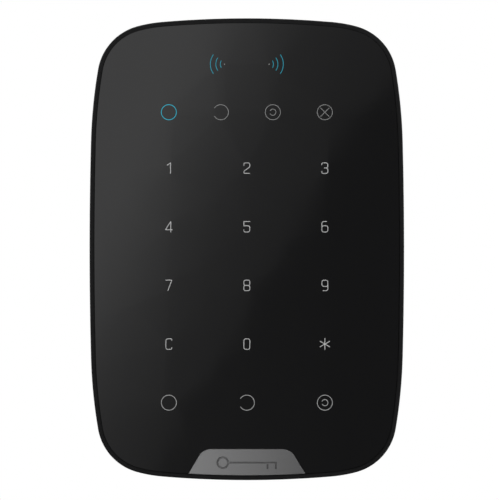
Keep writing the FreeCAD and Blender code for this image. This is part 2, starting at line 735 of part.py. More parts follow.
def wall_screw_places():
    half_x, half_z = SCREW_SPACING[0] / 2, SCREW_SPACING[1] / 2
    return [(sx * half_x, SCREW_CENTRE_Z + sz * half_z) for sx in (-1, 1) for sz in (-1, 1)]


def countersunk_hole(x, z):
    cone = Part.makeCone(SCREW_HOLE_R, SCREW_HEAD_R, SINK_DEPTH,
                         Vector(x, -(PLATE_THICKNESS - SINK_DEPTH), z), Vector(0, -1, 0))
    return fused([rod(x, z, SCREW_HOLE_R, -PAST, PLATE_THICKNESS), cone,
                  rod(x, z, SCREW_HEAD_R, PLATE_THICKNESS, PLATE_THICKNESS + PAST)])


def make_hook(side, top):
    half = HOOK_WIDTH / 2
    x = (side * HOOK_X - half, side * HOOK_X + half)
    lip_back = BACK_WALL[1] + HOOK_GRIP_PLAY
    lip_front = lip_back + HOOK_LIP_THICKNESS
    stem = box(x, (top - HOOK_STEM, top), (PLATE_THICKNESS, lip_front))
    lip = box(x, (top - HOOK_STEM, top + HOOK_LIP), (lip_back, lip_front))
    tip = [e for e in lip.Edges if e.BoundBox.ZMin > top + HOOK_LIP - 0.01
           and e.BoundBox.YMin > -lip_back - 0.01]
    return stem.fuse(lip.makeChamfer(HOOK_LEAD, tip))


def ramp_depth(z):
    return RAMP_TOP - TAMPER_SLOPE * (z - TAMPER_Z)


def make_ramp():
    low, high = RAMP_SPAN
    profile = [Vector(-RAMP_WIDTH / 2, -PLATE_THICKNESS, low),
               Vector(-RAMP_WIDTH / 2, -ramp_depth(low), low),
               Vector(-RAMP_WIDTH / 2, -ramp_depth(high), high),
               Vector(-RAMP_WIDTH / 2, -PLATE_THICKNESS, high)]
    face = Part.Face(Part.makePolygon(profile + profile[:1]))
    return face.extrude(Vector(RAMP_WIDTH, 0, 0))


def breakaway_slots():
    """Ring of four arc slots, with narrow bridges that tear."""
    slots = []
    for quarter in range(4):
        start = 90 * quarter + BREAKAWAY_BRIDGE / 2
        face = arc_stroke(BREAKAWAY_R, start, start + 90 - BREAKAWAY_BRIDGE, BREAKAWAY_SLOT)
        face.translate(Vector(0, 0, BREAKAWAY_Z))
        slots.append(slab(face, -PAST, PLATE_THICKNESS + PAST))
    return slots


def wall_side_pockets():
    """Shallow cored-out pockets on the wall side, clear of holes and hooks."""
    pockets = []
    for low in SIDE_POCKET_LOWS:
        for side in (-1, 1):
            x = sorted(side * reach for reach in SIDE_POCKET_X)
            face = rounded_rectangle(x, (low, low + SIDE_POCKET_HEIGHT), POCKET_CORNER)
            pockets.append(slab(face, -PAST, POCKET_DEPTH))
    for low in MIDDLE_POCKET_LOWS:
        face = rounded_rectangle((-MIDDLE_POCKET_HALF, MIDDLE_POCKET_HALF),
                                 (low, low + MIDDLE_POCKET_HEIGHT), POCKET_CORNER)
        pockets.append(slab(face, -PAST, POCKET_DEPTH))
    return pockets


def make_mounting_plate():
    reach = slab(outline(PLATE_INSET, SLIDE_TRAVEL), 0, PLATE_THICKNESS)
    plate = slab(outline(PLATE_INSET), 0, PLATE_THICKNESS).common(reach)
    tab = box((-LOCK_TAB_HALF, LOCK_TAB_HALF), LOCK_TAB, LOCK_TAB_DEPTH)
    hooks = [make_hook(side, top) for side in (-1, 1) for top in HOOK_TOPS]
    plate = fused([plate, tab, make_ramp()] + hooks)
    cuts = [countersunk_hole(x, z) for x, z in wall_screw_places()]
    cuts.append(countersunk_hole(0, TAMPER_SCREW_Z))
    cuts.append(upright(0, LOCK_AXIS_DEPTH, LOCK_THREAD_R, LOCK_TAB[0] - PAST, LOCK_TAB[1] + PAST))
    cuts += breakaway_slots() + wall_side_pockets()
    save("mounting_plate", plate.cut(cuts))


# ---- lighting and touch layers ----

def lit_places():
    """Icons and keys that lie over the main board."""
    places = [(x, STATUS_Z) for x in STATUS_COLUMNS]
    places += [(side * (READER_X + WAVE_MIDDLE), READER_Z) for side in (-1, 1)]
    places += [(x, KEY_TOP_ROW - row * KEY_PITCH_Z) for x in KEY_COLUMNS for row in (0, 1)]
    return places


def above(low, near, far):
    return box((-BODY_REACH, BODY_REACH), (low, BODY_REACH), (near, far))


def make_layers():
    tape = slab(outline(PANEL_INSET + TAPE_MARGIN), SHELF[1], PANEL_BACK)
    save("panel_tape", tape.cut(slab(outline(WINDOW_INSET - TAPE_OVERHANG), SHELF[1] - PAST,
                                     PANEL_BACK + PAST)))
    save("touch_film", slab(outline(WINDOW_INSET + LAYER_PLAY), *FILM))
    save("light_guide", slab(outline(WINDOW_INSET + LAYER_PLAY), *GUIDE))
    baffle_back = BOARD[1] + BAFFLE_PLAY
    baffle = slab(outline(WINDOW_INSET + BAFFLE_INSET), baffle_back, GUIDE[0])
    baffle = baffle.common(above(BOARD_BOTTOM + 1, BOARD[1], GUIDE[0]))
    wells = [rod(x, z, WELL_R, BOARD[1] - PAST, GUIDE[0] + PAST) for x, z in lit_places()]
    save("light_baffle", baffle.cut(wells))
    half = LED_SIDE / 2
    leds = [box((x - half, x + half), (z - half, z + half), (BOARD[1], BOARD[1] + LED_HEIGHT))
            for x, z in lit_places()]
    save("indicator_leds", Part.makeCompound(leds))


# ---- electronics ----

def make_main_board():
    board = slab(outline(CAVITY_INSET + BOARD_PLAY), *BOARD).common(above(BOARD_BOTTOM, *BOARD))
    through = (BOARD[0] - PAST, BOARD[1] + PAST)
    cuts = [rod(x, z, BOSS_R + BOARD_PLAY, *through) for x, z in housing_screw_places()]
    cuts += [rod(x, z, BOARD_HOLE_R, *through) for x, z in mirrored(BOARD_POSTS)]
    save("main_board", board.cut(cuts))
    screws = []
    back = BOARD[0] - BOARD_HEAD_HEIGHT
    for x, z in mirrored(BOARD_POSTS):
        head = rod(x, z, BOARD_HEAD_R, back, BOARD[0])
        screw = head.fuse(rod(x, z, BOARD_SHANK_R, BOARD[0], BOARD_SHANK_END))
        screws.append(screw.cut(cross_recess(x, z, back - PAST, back + BOARD_RECESS,
                                             BOARD_CROSS)))
    save("board_screws", Part.makeCompound(screws))


def make_reader_coil():
    """Flat rectangular spiral of copper track on the front of the board."""
    low, high = COIL_Z
    corners = []
    for turn in range(COIL_TURNS):
        step = turn * COIL_PITCH
        left, right = -COIL_HALF_X + step, COIL_HALF_X - step
        corners += [(left, high - step), (right, high - step), (right, low + step),
                    (left + COIL_PITCH, low + step)]
    spiral = stroke(corners, COIL_TRACK, COIL_CORNER)
    save("reader_coil", slab(spiral, BOARD[1], BOARD[1] + COIL_THICKNESS))


def on_board(x, z, width, height, thickness):
    return box((x - width / 2, x + width / 2), (z - height / 2, z + height / 2),
               (BOARD[0] - thickness, BOARD[0]))


def marked_chip(x, z, width, height, thickness):
    """Chip body with a small round dimple that marks its first pin."""
    body = on_board(x, z, width, height, thickness)
    corner_x = x - width / 2 + DIMPLE_INSET
    corner_z = z + height / 2 - DIMPLE_INSET
    back = BOARD[0] - thickness
    return body.cut(rod(corner_x, corner_z, DIMPLE_R, back - PAST, back + DIMPLE_DEPTH))


def make_chips():
    save("microcontroller", marked_chip(*CONTROLLER))
    save("reader_chip", marked_chip(*READER_CHIP))
    save("radio_board", on_board(*RADIO_BOARD))
    x, z, width, height, thickness = RADIO_BOARD
    front = BOARD[0] - thickness
    half_x, half_z = width / 2 - SHIELD_MARGIN, height / 2 - SHIELD_MARGIN
    wall = SHIELD_WALL
    can = box((x - half_x, x + half_x), (z - half_z, z + half_z), (front - SHIELD_HEIGHT, front))
    hollow = box((x - half_x + wall, x + half_x - wall), (z - half_z + wall, z + half_z - wall),
                 (front - SHIELD_HEIGHT + wall, front))
    save("radio_shield", can.cut(hollow))
    save("crystals", Part.makeCompound([on_board(*place, *CRYSTAL) for place in CRYSTAL_PLACES]))
    chips = []
    for row, places in CAPACITOR_ROWS:
        chips += [on_board(CAPACITOR_LEFT + CAPACITOR_STEP * i, row, *CAPACITOR) for i in places]
    chips += [on_board(TUNING_X, TUNING_LOW + TUNING_STEP * i, *TUNING_CAPACITOR)
              for i in range(TUNING_COUNT)]
    save("chip_capacitors", Part.makeCompound(chips))


def make_antennas():
    """Two bent spring-steel strips, one along each side."""
    strips = []
    for side in (-1, 1):
        blade_x = sorted((side * (ANTENNA_X - ANTENNA_SHEET), side * ANTENNA_X))
        foot_x = sorted((side * (ANTENNA_X - ANTENNA_FOOT), side * ANTENNA_X))
        foot = box(foot_x, ANTENNA_LEG_Z, (BOARD[0] - ANTENNA_SHEET, BOARD[0]))
        leg = box(blade_x, ANTENNA_LEG_Z, (ANTENNA_BLADE[0], BOARD[0]))
        blade = box(blade_x, (ANTENNA_LEG_Z[0], ANTENNA_TOP_Z), ANTENNA_BLADE)
        strips.append(fused([foot, leg, blade]))
    save("radio_antennas", Part.makeCompound(strips))


def make_buzzer():
    x, z = BUZZER_AT
    inner = BUZZER_R - BUZZER_WALL
    shell = rod(x, z, BUZZER_R, BUZZER_BACK, BOARD[0])
    shell = shell.cut(rod(x, z, inner, BUZZER_BACK + BUZZER_WALL, BOARD[0] + PAST))
    sound_hole = rod(x, z, SOUND_HOLE_R, BUZZER_BACK - PAST, BUZZER_BACK + PAST)
    save("buzzer_housing", shell.cut(sound_hole))
    save("buzzer_disc", rod(x, z, inner - DISC_PLAY, *BUZZER_DISC))


# ---- power ----

def cell_columns():
    """Centre of each cell and whether its positive end is up."""
    return [((i - 1.5) * CELL_PITCH, i % 2 == 0) for i in range(4)]


def make_cells():
    for number, (x, positive_up) in enumerate(cell_columns(), start=1):
        top = BAY[1] - CONTACT_THICKNESS
        bottom = BAY[0] + CONTACT_THICKNESS
        if positive_up:
            can = (top - CELL_NUB - CELL_CAN, top - CELL_NUB)
            nub = (can[1], top)
        else:
            can = (bottom + CELL_NUB, bottom + CELL_NUB + CELL_CAN)
            nub = (bottom, can[0])
        body = upright(x, CELL_DEPTH, CELL_R, *can)
        ends = [e for e in body.Edges if len(e.Vertexes) == 1]
        body = body.makeFillet(CELL_EDGE, ends)
        save("battery_cell_%d" % number, body.fuse(upright(x, CELL_DEPTH, CELL_NUB_R, *nub)))


def make_contacts():
    low, high = BAY
    columns = [x for x, positive_up in cell_columns()]
    top = (high - CONTACT_THICKNESS, high)
    bottom = (low, low + CONTACT_THICKNESS)
    spans = [(columns[0], columns[0], top), (columns[1], columns[2], top),
             (columns[3], columns[3], top), (columns[0], columns[1], bottom),
             (columns[2], columns[3], bottom)]
    plates = [box((left - CONTACT_HALF, right + CONTACT_HALF), z, CONTACT_REACH)
              for left, right, z in spans]
    save("contact_plates", Part.makeCompound(plates))
    springs = []
    clear = CONTACT_THICKNESS + CONTACT_WIRE_R + SPRING_PLAY
    height = CONTACT_SPRING - 2 * (CONTACT_WIRE_R + SPRING_PLAY)
    for x, positive_up in cell_columns():
        start = low + clear if positive_up else high - clear
        direction = Vector(0, 0, 1 if positive_up else -1)
        springs.append(helix_spring(CONTACT_SPRING_R, CONTACT_WIRE_R, height,
                                    CONTACT_SPRING_TURNS, Vector(x, -CELL_DEPTH, start), direction))
    save("contact_springs", Part.makeCompound(springs))


# ---- tamper switch and power button ----

def make_tamper():
    half = TAMPER_SWITCH_SIDE / 2
    switch = box((-half, half), (TAMPER_Z - half, TAMPER_Z + half), (TAMPER_SWITCH_BACK, BOARD[0]))
    bore = rod(0, TAMPER_Z, PLUNGER_R + PLUNGER_PLAY, TAMPER_SWITCH_BACK - PAST, BOARD[0] - SWITCH_FLOOR)
    save("tamper_switch", switch.cut(bore))
    ball = Part.makeSphere(PLUNGER_R, Vector(0, -PLUNGER_TIP - PLUNGER_R, TAMPER_Z))
    plunger = rod(0, TAMPER_Z, PLUNGER_R, PLUNGER_TIP + PLUNGER_R, PLUNGER_END)
    save("tamper_plunger", fused([plunger, ball, rod(0, TAMPER_Z, COLLAR_R, *COLLAR)]))
    start = Vector(0, -COLLAR[1] - TAMPER_WIRE_R - TAMPER_SPRING_PLAY, TAMPER_Z)
    save("tamper_spring", helix_spring(TAMPER_SPRING_R, TAMPER_WIRE_R, TAMPER_SPRING_HEIGHT,
                                       TAMPER_SPRING_TURNS, start, Vector(0, -1, 0)))


def make_power_button():
    x, z = BUTTON_AT
    cap = rod(x, z, BUTTON_R, *BUTTON_CAP)
    cap = cap.makeFillet(BUTTON_ROUND, [e for e in cap.Edges
                                        if e.BoundBox.YMin > -BUTTON_CAP[0] - 0.01])
    flange = rod(x, z, BUTTON_FLANGE_R, *BUTTON_FLANGE)
    stem = rod(x, z, BUTTON_STEM_R, BUTTON_CAP[1], ACTUATOR[0])
    save("power_button", fused([cap, flange, stem]))
    half = POWER_SWITCH_SIDE / 2
    body = box((x - half, x + half), (z - half, z + half), (POWER_SWITCH_BACK, BOARD[0]))
    bore = rod(x, z, ACTUATOR_R + ACTUATOR_PLAY, POWER_SWITCH_BACK - PAST, BOARD[0] - SWITCH_FLOOR)
    save("power_switch", body.cut(bore))
    save("switch_actuator", rod(x, z, ACTUATOR_R, *ACTUATOR))


make_mounting_plate()
make_rear_housing()
make_front_housing()
make_panel_parts()
make_layers()
make_main_board()
make_reader_coil()
make_chips()
make_antennas()
make_buzzer()
make_cells()
make_contacts()
make_tamper()
make_power_button()
make_housing_screws()
make_lock_screw()
make_label()
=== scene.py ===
"""Looks of the wall keypad with its card reader: finishes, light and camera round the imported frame.

Everything is in metres and in the frame's own axes: +X to the right seen from the room, +Y into
the wall and +Z up. Patterns are in object coordinates, which are the same metres.
"""
import json
import math

import bmesh
import bpy
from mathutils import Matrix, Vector


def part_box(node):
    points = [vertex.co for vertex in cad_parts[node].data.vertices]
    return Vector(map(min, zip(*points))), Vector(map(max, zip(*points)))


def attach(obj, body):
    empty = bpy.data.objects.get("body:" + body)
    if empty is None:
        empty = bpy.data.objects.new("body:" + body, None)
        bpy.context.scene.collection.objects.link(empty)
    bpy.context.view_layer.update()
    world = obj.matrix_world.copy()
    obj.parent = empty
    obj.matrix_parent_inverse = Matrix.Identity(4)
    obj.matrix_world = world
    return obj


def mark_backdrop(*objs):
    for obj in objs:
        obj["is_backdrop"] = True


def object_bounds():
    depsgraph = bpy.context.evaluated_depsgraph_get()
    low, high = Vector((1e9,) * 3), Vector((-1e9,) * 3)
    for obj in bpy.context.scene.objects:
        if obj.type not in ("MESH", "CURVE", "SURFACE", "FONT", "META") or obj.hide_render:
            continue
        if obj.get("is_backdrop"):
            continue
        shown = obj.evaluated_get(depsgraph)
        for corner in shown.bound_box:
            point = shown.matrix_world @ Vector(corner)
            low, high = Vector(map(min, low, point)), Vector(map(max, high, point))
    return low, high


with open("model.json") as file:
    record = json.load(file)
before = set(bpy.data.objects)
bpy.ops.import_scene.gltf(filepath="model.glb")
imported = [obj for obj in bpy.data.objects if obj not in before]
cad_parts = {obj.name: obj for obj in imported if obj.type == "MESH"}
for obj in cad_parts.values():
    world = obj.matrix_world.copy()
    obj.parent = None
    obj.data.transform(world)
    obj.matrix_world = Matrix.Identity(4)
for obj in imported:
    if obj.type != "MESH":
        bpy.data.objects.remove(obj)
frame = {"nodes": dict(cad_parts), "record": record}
cad_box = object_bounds()
NODES = frame["nodes"]
COLOURS = {m["slot"]: m["base_color"] for m in frame["record"]["materials"]}
MM = 0.001
WHITE = (1.0, 1.0, 1.0, 1.0)


# ---- node helpers ----

def new_material(name):
    made = bpy.data.materials.new(name)
    made.use_nodes = True
    return made


def put(tree, node, socket, value):
    """Give a node's socket a plain value, or link another node's output to it."""
    if isinstance(value, bpy.types.NodeSocket):
        tree.links.new(value, node.inputs[socket])
    else:
        node.inputs[socket].default_value = value


def add_node(tree, kind, inputs=(), **options):
    """Make a node, set its options and fill its inputs, given as socket: value or output."""
    made = tree.nodes.new(kind)
    for option, value in options.items():
        setattr(made, option, value)
    for socket, value in dict(inputs).items():
        put(tree, made, socket, value)
    return made


def map_range(tree, source, low, high, out_low, out_high):
    """Map source from low..high to out_low..out_high, held at both ends."""
    made = add_node(tree, "ShaderNodeMapRange", {
        "Value": source, "From Min": low, "From Max": high,
        "To Min": out_low, "To Max": out_high})
    return made.outputs["Result"]


def maths(tree, operation, *values):
    made = add_node(tree, "ShaderNodeMath", enumerate(values), operation=operation)
    return made.outputs["Value"]


def shade(colour, factor):
    return tuple(min(1.0, c * factor) for c in colour)


MIX_FACTOR, MIX_FIRST, MIX_SECOND, MIX_RESULT = 0, 6, 7, 2    # colour sockets of a mix node
NOISE_SPAN = (0.3, 0.7)         # nearly all of a noise's values lie between these
NOISE_CORE = (0.35, 0.65)       # and most of them between these
EDGE_SAMPLES = 6
EDGE_TURN = (0.97, 0.80)        # from flat to crest: dot of rounded and true normal
CREASE_LIGHT = (0.95, 0.45)     # from open to deep: share of the sky that a point sees


class Finish:
    """A node-based material for one slot, around a Principled shader."""

    def __init__(self, slot, roughness, metallic=0.0):
        self.material = new_material(slot + "_finish")
        self.tree = self.material.node_tree
        self.shader = self.tree.nodes["Principled BSDF"]
        self.colour = tuple(COLOURS[slot])
        self.set("Base Color", (*self.colour, 1.0))
        self.set("Roughness", roughness)
        self.set("Metallic", metallic)
        self.place = self.node("ShaderNodeTexCoord").outputs["Object"]
        self.normal = None

    def set(self, socket, value):
        put(self.tree, self.shader, socket, value)

    def node(self, kind, inputs=(), **options):
        return add_node(self.tree, kind, inputs, **options)

    def noise(self, size, detail=2.0, roughness=0.5, place=None):
        """Soft noise whose blotches are about size metres across."""
        made = self.node("ShaderNodeTexNoise", {
            "Vector": place or self.place, "Scale": 1.0 / size,
            "Detail": detail, "Roughness": roughness})
        return made.outputs["Fac"]

    def cells(self, size):
        """Distance from the nearest of many scattered points, about size metres apart."""
        made = self.node("ShaderNodeTexVoronoi", {"Vector": self.place, "Scale": 1.0 / size},
                         feature="F1")
        return made.outputs["Distance"]

    def stretched(self, x, y, z):
        """Object coordinates scaled along each axis, for grain that runs one way."""
        made = self.node("ShaderNodeMapping", {"Vector": self.place, "Scale": (x, y, z)})
        return made.outputs["Vector"]

    def axis(self, name):
        return self.node("ShaderNodeSeparateXYZ", {"Vector": self.place}).outputs[name]

    def true_normal(self):
        return self.node("ShaderNodeNewGeometry").outputs["Normal"]

    def facing(self, name):
        """One component of the surface's own normal."""
        return self.node("ShaderNodeSeparateXYZ", {"Vector": self.true_normal()}).outputs[name]

    def maths(self, operation, *values):
        return maths(self.tree, operation, *values)

    def spread(self, source, low, high, out_low=0.0, out_high=1.0):
        return map_range(self.tree, source, low, high, out_low, out_high)

    def vary_roughness(self, noise, low, high):
        self.set("Roughness", self.spread(noise, *NOISE_SPAN, low, high))

    def blend(self, factor, first, second):
        """Colour that goes from first to second as factor goes from 0 to 1."""
        made = self.node("ShaderNodeMix", {MIX_FACTOR: factor}, data_type="RGBA")
        for socket, colour in ((MIX_FIRST, first), (MIX_SECOND, second)):
            plain = not isinstance(colour, bpy.types.NodeSocket)
            put(self.tree, made, socket, (*colour[:3], 1.0) if plain else colour)
        return made.outputs[MIX_RESULT]

    def tones(self, factor, low, high, colour=None):
        """The finish's own colour, or another, from low to high times its brightness."""
        colour = colour or self.colour
        return self.blend(factor, shade(colour, low), shade(colour, high))

    def bump(self, height, depth, strength=1.0):
        """Raise the surface by height times depth metres; several bumps chain up."""
        made = self.node("ShaderNodeBump", {"Height": height, "Distance": depth,
                                            "Strength": strength})
        if self.normal is not None:
            put(self.tree, made, "Normal", self.normal)
        self.normal = made.outputs["Normal"]
        self.set("Normal", self.normal)

    def crease_shade(self, reach):
        """How much shade falls here, from how much sky a point sees: 0 in the open, 1 deep in a
        groove or an inner corner.
        """
        hidden = self.node("ShaderNodeAmbientOcclusion", {"Distance": reach},
                           samples=EDGE_SAMPLES)
        return self.spread(hidden.outputs["AO"], *CREASE_LIGHT)

    def edges(self, radius):
        """1 on the crest of an outer edge, 0 on the flats around it and in grooves and inner corners.
        """
        rounded = self.node("ShaderNodeBevel", {"Radius": radius}, samples=EDGE_SAMPLES)
        dot = self.node("ShaderNodeVectorMath",
                        {0: rounded.outputs["Normal"], 1: self.true_normal()},
                        operation="DOT_PRODUCT")
        turned = self.spread(dot.outputs["Value"], *EDGE_TURN)
        return self.maths("MULTIPLY", turned, self.maths("SUBTRACT", 1.0, self.crease_shade(radius)))


# ---- finishes ----

def moulded(slot, roughness, wear=1.6, gloss=0.25):
    """Moulded plastic with a fine spark texture, slight mottling, worn edges and painted shade in
    grooves and inner corners.

    wear is how many times brighter the worn edges are."""
    made = Finish(slot, roughness)
    made.set("Specular IOR Level", gloss)
    edge_width, crease_reach, painted_shade_tone = 0.35 * MM, 0.8 * MM, 0.55
    mottle = made.spread(made.noise(9 * MM, detail=3.0), *NOISE_CORE)
    mottled = made.tones(mottle, 0.93, 1.07)
    edge_wear_and_highlight = made.maths("MULTIPLY", made.edges(edge_width), made.noise(2.5 * MM, detail=3.0))
    worn = made.blend(edge_wear_and_highlight, mottled, shade(made.colour, wear))
    # Painted shade: darker in grooves and inner corners, where less light reaches.
    made.set("Base Color", made.blend(made.crease_shade(crease_reach), worn,
                                      shade(made.colour, painted_shade_tone)))
    made.vary_roughness(made.noise(4 * MM, detail=4.0), roughness - 0.05, roughness + 0.05)
    made.bump(made.noise(0.3 * MM, detail=3.0, roughness=0.65), depth=0.055 * MM)
    return made.material


def panel_gloss():
    """Black acrylic: even gloss with faint wipe marks and a little dust in the surface."""
    made = Finish("panel_gloss", 0.06)
    clean, wiped, dust_tone = 0.052, 0.075, 1.5
    wipes = made.noise(14 * MM, detail=5.0, roughness=0.6, place=made.stretched(1.0, 1.0, 0.35))
    made.set("Roughness", made.spread(wipes, 0.35, 0.7, clean, wiped))
    dust = made.spread(made.noise(0.8 * MM, roughness=0.7), 0.72, 0.80)
    made.set("Base Color", made.tones(dust, 1.0, dust_tone))
    made.bump(made.noise(30 * MM), depth=0.01 * MM, strength=0.15)
    return made.material


BADGE_SHADING_REACH = 19 * MM           # the badge's painted light falls off from -X to +X over this half-width
BADGE_PAINTED_SHADING = (1.70, 0.79)      # brightness of its painted light at its left end and of its painted shade at its right end


def badge_grey():
    """Satin paint with a fine metallic flake, with painted light brighter at the left, painted shade
    towards the right, a painted highlight on its outer edges and painted shade in its grooves.
    """
    made = Finish("badge_grey", 0.42)
    flake_tone, flake_cover, painted_highlight_tone, painted_shade_tone = 1.5, 0.15, 1.8, 0.3
    flake = made.noise(0.18 * MM, roughness=0.8)
    # Painted light and shade across the badge: bright at the left, darker towards the right, as if
    # lit from the left.
    across = made.spread(made.axis("X"), -BADGE_SHADING_REACH, BADGE_SHADING_REACH)
    flake_and_painted_light = made.blend(made.spread(flake, *NOISE_CORE, 0.0, flake_cover),
                        made.tones(across, *BADGE_PAINTED_SHADING), shade(made.colour, flake_tone))
    # Painted highlight along the badge's outer edges.
    edge_wear_and_highlight = made.blend(made.edges(0.3 * MM), flake_and_painted_light, shade(made.colour, painted_highlight_tone))
    # Painted shade: darker in the engraved key and the badge's inner corners.
    made.set("Base Color", made.blend(made.crease_shade(0.7 * MM), edge_wear_and_highlight,
                                      shade(made.colour, painted_shade_tone)))
    made.vary_roughness(flake, 0.36, 0.48)
    made.bump(made.noise(0.25 * MM, roughness=0.7), depth=0.006 * MM)
    return made.material


def legend(slot, glow, unlit=1.0, lamp=None):
    """Translucent print lit from behind, a little uneven where the light guide feeds it.

    unlit is the brightness of the print itself, lamp the colour of the light behind it."""
    made = Finish(slot, 0.35)
    uneven = made.spread(made.noise(1.2 * MM), *NOISE_SPAN)
    dimmer, brighter = 0.92, 1.05
    made.set("Base Color", made.tones(uneven, dimmer * unlit, brighter * unlit))
    made.set("Emission Color", made.tones(uneven, dimmer, brighter, lamp))
    made.set("Emission Strength", glow)
    made.bump(made.noise(0.3 * MM), depth=0.003 * MM)
    return made.material


DRAWN_OUT = 12.0                # draw lines are this many times longer along Z than across


def brushed(slot, roughness):
    """Plated or rolled metal with fine draw lines and faint stains."""
    made = Finish(slot, roughness, metallic=1.0)
    stained = 0.72
    lines = made.noise(0.12 * MM, detail=3.0, roughness=0.6,
                       place=made.stretched(1.0, 1.0, 1.0 / DRAWN_OUT))
    stains = made.spread(made.noise(3 * MM, detail=4.0, roughness=0.6), 0.35, 0.75)
    made.set("Base Color", made.tones(stains, 1.0, stained))
    made.vary_roughness(lines, roughness - 0.08, roughness + 0.12)
    made.bump(lines, depth=0.008 * MM)
    return made.material


TRACK_BANDS = 330.0             # tracks run across Z, this scale sets how close
VIA_CUT = (0.085, 0.095)        # a via's edge, as a share of the cells' pitch
PLATED_VIA = (0.55, 0.45, 0.25)


def board_green():
    """Solder mask over copper: poured areas, bundles of tracks and plated vias."""
    made = Finish("board_green", 0.28)
    bare_tone, poured_tone, track_tone = 0.8, 0.95, 1.2
    poured = made.spread(made.noise(11 * MM, detail=0.0), 0.49, 0.51)
    bundles = made.spread(made.noise(7 * MM, detail=0.0, place=made.stretched(1.0, 1.0, 3.0)),
                          0.56, 0.57)
    waves = made.node("ShaderNodeTexWave", {"Vector": made.place, "Scale": TRACK_BANDS},
                      bands_direction="Z")
    lines = made.spread(waves.outputs["Fac"], 0.45, 0.55)
    tracks = made.maths("MULTIPLY", lines, made.maths("SUBTRACT", 1.0, poured))
    tracks = made.maths("MULTIPLY", tracks, bundles)
    vias = made.spread(made.cells(3.6 * MM), *VIA_CUT, 1.0, 0.0)
    mask = made.tones(poured, bare_tone, poured_tone)
    routed = made.blend(tracks, mask, shade(made.colour, track_tone))
    made.set("Base Color", made.blend(vias, routed, PLATED_VIA))
    made.vary_roughness(made.noise(5 * MM, detail=3.0), 0.24, 0.36)
    made.bump(made.maths("MAXIMUM", poured, tracks), depth=0.03 * MM)
    return made.material


BAND_SHARE = 0.68               # the cells' coloured band starts this far up
BAND_COPPER = (0.42, 0.20, 0.09)
BARE_STEEL = (0.52, 0.52, 0.51)


def cell_sleeve():
    """Shrink-wrapped cell: dark sleeve with a copper-coloured band, bare steel at the ends."""
    made = Finish("cell_sleeve", 0.28)
    ends = made.spread(made.maths("ABSOLUTE", made.facing("Z")), 0.8, 0.95)
    low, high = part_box("battery_cell_1")
    band_at = low.z + BAND_SHARE * (high.z - low.z)
    band = made.spread(made.axis("Z"), band_at, band_at + 0.1 * MM)
    sleeve = made.blend(band, made.colour, BAND_COPPER)
    made.set("Base Color", made.blend(ends, sleeve, BARE_STEEL))
    made.set("Metallic", ends)
    made.vary_roughness(made.noise(3 * MM, detail=4.0), 0.22, 0.36)
    made.bump(made.noise(0.8 * MM), depth=0.01 * MM)
    return made.material


def clear_sheet(slot, roughness, pitch):
    """Clear sheet with a fine printed or etched dot pattern, rougher on the dots."""
    made = Finish(slot, roughness)
    dot_tone, rougher, clearness = 1.25, 0.3, 0.6
    dots = made.spread(made.cells(pitch), 0.25, 0.35, 1.0, 0.0)
    made.set("Base Color", made.tones(dots, 1.0, dot_tone))
    made.set("Roughness", made.spread(dots, 0.0, 1.0, roughness, roughness + rougher))
    made.set("Transmission Weight", clearness)
    made.bump(dots, depth=0.01 * MM)
    return made.material


def speckled(slot, roughness, grain, contrast, depth=0.01 * MM):
    """Fine-grained surface whose colour varies by contrast from grain to grain."""
    made = Finish(slot, roughness)
    grains = made.noise(grain, detail=3.0, roughness=0.7)
    made.set("Base Color", made.tones(made.spread(grains, *NOISE_SPAN),
                                      1 - contrast, 1 + contrast))
    made.vary_roughness(grains, roughness - 0.06, roughness + 0.06)
    made.bump(grains, depth)
    return made.material


LAMP_CYAN = (0.005, 0.56, 0.77)
LIT_PRINT = 0.3                 # brightness of the print itself where the lamp is on

FINISHES = {
    "plate_plastic": moulded("plate_plastic", 0.62),
    "housing_plastic": moulded("housing_plastic", 0.58, gloss=0.12),
    "button_plastic": moulded("button_plastic", 0.5),
    "baffle_white": moulded("baffle_white", 0.5, wear=1.05),
    "panel_gloss": panel_gloss(),
    "badge_grey": badge_grey(),
    "legend_bright": legend("legend_bright", glow=0.25),
    "legend_mid": legend("legend_mid", glow=0.36),
    "legend_dim": legend("legend_dim", glow=0.30),
    "legend_lit": legend("legend_lit", glow=0.6, unlit=LIT_PRINT, lamp=LAMP_CYAN),
    "tape_foam": speckled("tape_foam", 0.9, 0.25 * MM, contrast=0.4, depth=0.05 * MM),
    "film_clear": clear_sheet("film_clear", 0.2, pitch=1.5 * MM),
    "guide_clear": clear_sheet("guide_clear", 0.12, pitch=1.0 * MM),
    "led_epoxy": speckled("led_epoxy", 0.25, 0.2 * MM, contrast=0.15),
    "board_green": board_green(),
    "screw_steel": brushed("screw_steel", 0.32),
    "copper_track": brushed("copper_track", 0.3),
    "chip_black": speckled("chip_black", 0.55, 0.15 * MM, contrast=0.2),
    "can_tinned": brushed("can_tinned", 0.28),
    "ceramic_tan": speckled("ceramic_tan", 0.6, 0.2 * MM, contrast=0.15),
    "spring_steel": brushed("spring_steel", 0.25),
    "brass_disc": brushed("brass_disc", 0.3),
    "cell_sleeve": cell_sleeve(),
    "label_paper": speckled("label_paper", 0.7, 0.3 * MM, contrast=0.04),
}

for cad_node in NODES.values():
    for held in cad_node.material_slots:
        held.material = FINISHES[held.material.name]

# The thin reader marks glow less than the status ring that shares their slot.
NODES["reader_waves"].material_slots[0].material = legend("legend_lit", 0.36, LIT_PRINT,
                                                          LAMP_CYAN)


# ---- leads and solder on the boards, outlines and sizes in mm ----

